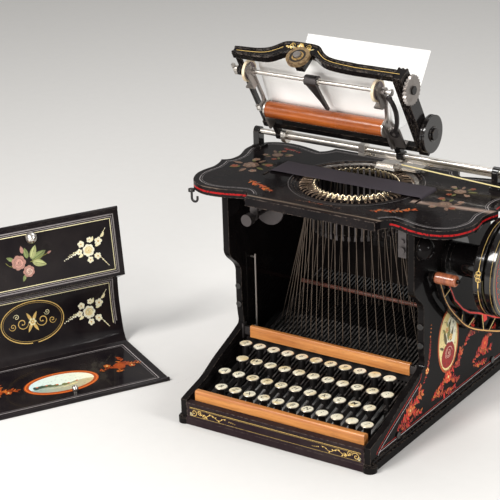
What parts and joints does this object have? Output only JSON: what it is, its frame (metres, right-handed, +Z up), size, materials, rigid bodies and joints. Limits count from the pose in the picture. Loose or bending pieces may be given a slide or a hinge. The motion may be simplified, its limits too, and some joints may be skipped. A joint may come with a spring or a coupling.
{
  "type": "typewriter",
  "caption": "Upstrike keyboard typewriter: open cast frame, sloping keyboard, wires to hanging typebars, tilting sliding carriage with platen, side drum and crank, detached cover.",
  "frame": {"origin": "on the table under the middle of the front wall of the base", "axes": "+X machine's right, +Y back, +Z up"},
  "size_m": [0.6602, 0.46, 0.4116],
  "materials": {
    "black_japan": "glossy black japanned cast iron with painted ornament",
    "black_sheet": "black japanned sheet metal",
    "plate_japan": "worn black japan with faded floral painting",
    "nickel": "polished nickel plate, slightly tarnished",
    "steel": "bare steel",
    "dark_steel": "blackened steel",
    "key_metal": "nickel rim and stem, cream top",
    "wire": "tarnished steel wire",
    "brass": "aged brass",
    "rust_rod": "red-brown painted rod",
    "orange_wood": "varnished orange-brown wood",
    "platen_wood": "polished orange-brown roller",
    "grip_wood": "turned copper-brown wood",
    "ribbon_cloth": "inked ribbon",
    "paper_sheet": "white paper",
    "cream_tyre": "cream rubber tyre on a grey flange",
    "cord": "yellow draw cord",
    "crank_paint": "black arm with gold and red edges",
    "cover_tin": "black japanned sheet metal with painted flowers"
  },
  "bodies": {
    "machine": {"base_frame": "black_japan", "side_panel_left": "black_japan", "side_panel_right": "black_japan", "back_panel": "black_sheet", "top_plate": "plate_japan", "type_ring": "nickel", "type_hangers": "brass", "typebars": "steel", "ribbon": "ribbon_cloth", "letter_board": "orange_wood", "board_clips": "brass", "lever_fulcrum": "steel", "guide_comb": "dark_steel", "cross_rod": "rust_rod", "guard_rods": "brass", "rail_posts": "black_japan", "rear_rail": "nickel", "feed_bracket": "nickel", "drum_bracket": "black_japan", "drum_axle": "steel", "draw_cord": "cord", "frame_screws": "nickel", "spool_bearings": "dark_steel", "plate_hook": "nickel", "cord_guide": "brass"},
    "space_bar": {"space_bar": "orange_wood", "space_bar_arms": "dark_steel"},
    "working_key": {"working_key": "key_metal"},
    "working_wire": {"working_wire": "wire"},
    "working_typebar": {"working_typebar": "steel"},
    "spool_left": {"ribbon_spool_left": "nickel"},
    "spool_right": {"ribbon_spool_right": "nickel"},
    "slide": {"carriage_sleeve": "nickel", "rack_bar": "nickel"},
    "carriage": {"carriage_frame": "black_japan", "platen_brackets": "steel", "paper": "paper_sheet", "centre_wheel_pin": "steel"},
    "centre_wheel": {"centre_wheel": "nickel"},
    "platen": {"platen": "platen_wood", "platen_ends": "nickel"},
    "strap_wheel": {"strap_wheel": "black_japan"},
    "ratchet_wheel": {"ratchet_wheel": "steel"},
    "feed": {"feed_shaft": "nickel", "feed_wheels": "cream_tyre"},
    "paper_finger": {"paper_finger": "dark_steel"},
    "pawl": {"pawl_lever": "dark_steel"},
    "spring_drum": {"spring_drum": "black_japan"},
    "crank": {"crank_arm": "crank_paint", "crank_grip": "grip_wood"},
    "cover": {"cover_shell": "cover_tin", "cover_knobs": "nickel"},
    "key_row_1": {"keys_row_1": "key_metal"},
    "wires_1": {"pull_wires_1": "wire"},
    "key_row_2": {"keys_row_2": "key_metal"},
    "wires_2": {"pull_wires_2": "wire"},
    "key_row_3": {"keys_row_3": "key_metal"},
    "wires_3": {"pull_wires_3": "wire"},
    "key_row_4": {"keys_row_4": "key_metal"},
    "wires_4": {"pull_wires_4": "wire"}
  },
  "joints": [
    {"name": "space_bar_press", "type": "hinge", "parent": "machine", "child": "space_bar", "pos_m": [0, 0.318, 0.09852], "axis": [1, 0, 0], "range_deg": [0, 1.2], "stiffness_Nm_per_rad": 2.5, "springref_deg": -20.05},
    {"name": "key_row_1_press", "type": "hinge", "parent": "machine", "child": "key_row_1", "pos_m": [0, 0.318, 0.09852], "axis": [1, 0, 0], "range_deg": [0, 1.82], "stiffness_Nm_per_rad": 2.5, "springref_deg": -20.05},
    {"name": "key_row_2_press", "type": "hinge", "parent": "machine", "child": "key_row_2", "pos_m": [0, 0.318, 0.09852], "axis": [1, 0, 0], "range_deg": [0, 1.82], "stiffness_Nm_per_rad": 2.5, "springref_deg": -20.05},
    {"name": "key_row_3_press", "type": "hinge", "parent": "machine", "child": "key_row_3", "pos_m": [0, 0.318, 0.09852], "axis": [1, 0, 0], "range_deg": [0, 1.82], "stiffness_Nm_per_rad": 2.5, "springref_deg": -20.05},
    {"name": "key_row_4_press", "type": "hinge", "parent": "machine", "child": "key_row_4", "pos_m": [0, 0.318, 0.09852], "axis": [1, 0, 0], "range_deg": [0, 1.82], "stiffness_Nm_per_rad": 2.5, "springref_deg": -20.05},
    {"name": "working_key_press", "type": "hinge", "parent": "machine", "child": "working_key", "pos_m": [0, 0.318, 0.09852], "axis": [1, 0, 0], "range_deg": [0, 1.82], "stiffness_Nm_per_rad": 0.5, "springref_deg": -20.05},
    {"name": "wires_1_pull", "type": "slide", "parent": "machine", "child": "wires_1", "axis": [0, 0, -1], "range_m": [0, 0.0025]},
    {"name": "wires_2_pull", "type": "slide", "parent": "machine", "child": "wires_2", "axis": [0, 0, -1], "range_m": [0, 0.0025]},
    {"name": "wires_3_pull", "type": "slide", "parent": "machine", "child": "wires_3", "axis": [0, 0, -1], "range_m": [0, 0.0025]},
    {"name": "wires_4_pull", "type": "slide", "parent": "machine", "child": "wires_4", "axis": [0, 0, -1], "range_m": [0, 0.0025]},
    {"name": "working_wire_pull", "type": "slide", "parent": "machine", "child": "working_wire", "axis": [0, 0, -1], "range_m": [0, 0.00601]},
    {"name": "working_typebar_swing", "type": "hinge", "parent": "machine", "child": "working_typebar", "pos_m": [-0.00362, 0.13643, 0.252], "axis": [0.9975, -0.0713, 0], "range_deg": [0, 90.5]},
    {"name": "spool_left_turn", "type": "hinge", "parent": "machine", "child": "spool_left", "pos_m": [-0.087, 0.17, 0.2245], "axis": [0, 1, 0], "continuous": true},
    {"name": "spool_right_turn", "type": "hinge", "parent": "machine", "child": "spool_right", "pos_m": [0.1, 0.185, 0.2], "axis": [0, 1, 0], "continuous": true},
    {"name": "carriage_slide", "type": "slide", "parent": "machine", "child": "slide", "axis": [1, 0, 0], "range_m": [-0.022, 0.112]},
    {"name": "carriage_lift", "type": "hinge", "parent": "slide", "child": "carriage", "pos_m": [-0.05, 0.242, 0.276], "axis": [-1, 0, 0], "range_deg": [-59, 20]},
    {"name": "centre_wheel_turn", "type": "hinge", "parent": "carriage", "child": "centre_wheel", "pos_m": [-0.0575, 0.15771, 0.40268], "axis": [0, -0.515, 0.8572], "continuous": true},
    {"name": "platen_turn", "type": "hinge", "parent": "carriage", "child": "platen", "pos_m": [-0.05, 0.20759, 0.31774], "axis": [1, 0, 0], "continuous": true},
    {"name": "strap_wheel_turn", "type": "hinge", "parent": "carriage", "child": "strap_wheel", "pos_m": [0.076, 0.22354, 0.31449], "axis": [1, 0, 0], "continuous": true},
    {"name": "ratchet_wheel_turn", "type": "hinge", "parent": "carriage", "child": "ratchet_wheel", "pos_m": [0.075, 0.17963, 0.37689], "axis": [1, 0, 0], "continuous": true},
    {"name": "feed_shaft_turn", "type": "hinge", "parent": "carriage", "child": "feed", "pos_m": [-0.05, 0.18089, 0.36994], "axis": [1, 0, 0], "continuous": true},
    {"name": "paper_finger_swing", "type": "hinge", "parent": "carriage", "child": "paper_finger", "pos_m": [-0.053, 0.18089, 0.36994], "axis": [1, 0, 0], "range_deg": [-6, 6]},
    {"name": "pawl_swing", "type": "hinge", "parent": "carriage", "child": "pawl", "pos_m": [0.0387, 0.20656, 0.31362], "axis": [0, 0.8572, 0.515], "range_deg": [-4, 4]},
    {"name": "spring_drum_turn", "type": "hinge", "parent": "machine", "child": "spring_drum", "pos_m": [0.1893, 0.187, 0.1872], "axis": [1, 0, 0], "range_deg": [-137, 28]},
    {"name": "crank_press", "type": "hinge", "parent": "machine", "child": "crank", "pos_m": [0.1335, 0.318, 0.062], "axis": [1, 0, 0], "range_deg": [0, 25], "stiffness_Nm_per_rad": 3, "springref_deg": -14.32},
    {"name": "cover_lift", "type": "slide", "parent": "machine", "child": "cover", "axis": [0, 0, 1], "range_m": [0, 0.06]}
  ],
  "couplings": [
    {"joint": "wires_1_pull", "follows": "key_row_1_press", "m_per_rad": 0.075555},
    {"joint": "wires_2_pull", "follows": "key_row_2_press", "m_per_rad": 0.075555},
    {"joint": "wires_3_pull", "follows": "key_row_3_press", "m_per_rad": 0.075555},
    {"joint": "wires_4_pull", "follows": "key_row_4_press", "m_per_rad": 0.075555},
    {"joint": "working_wire_pull", "follows": "working_key_press", "m_per_rad": 0.18612},
    {"joint": "working_typebar_swing", "follows": "working_key_press", "ratio": 49.45},
    {"joint": "spool_right_turn", "follows": "spool_left_turn", "ratio": -1.9375},
    {"joint": "spring_drum_turn", "follows": "carriage_slide", "rad_per_m": -21.053}
  ]
}
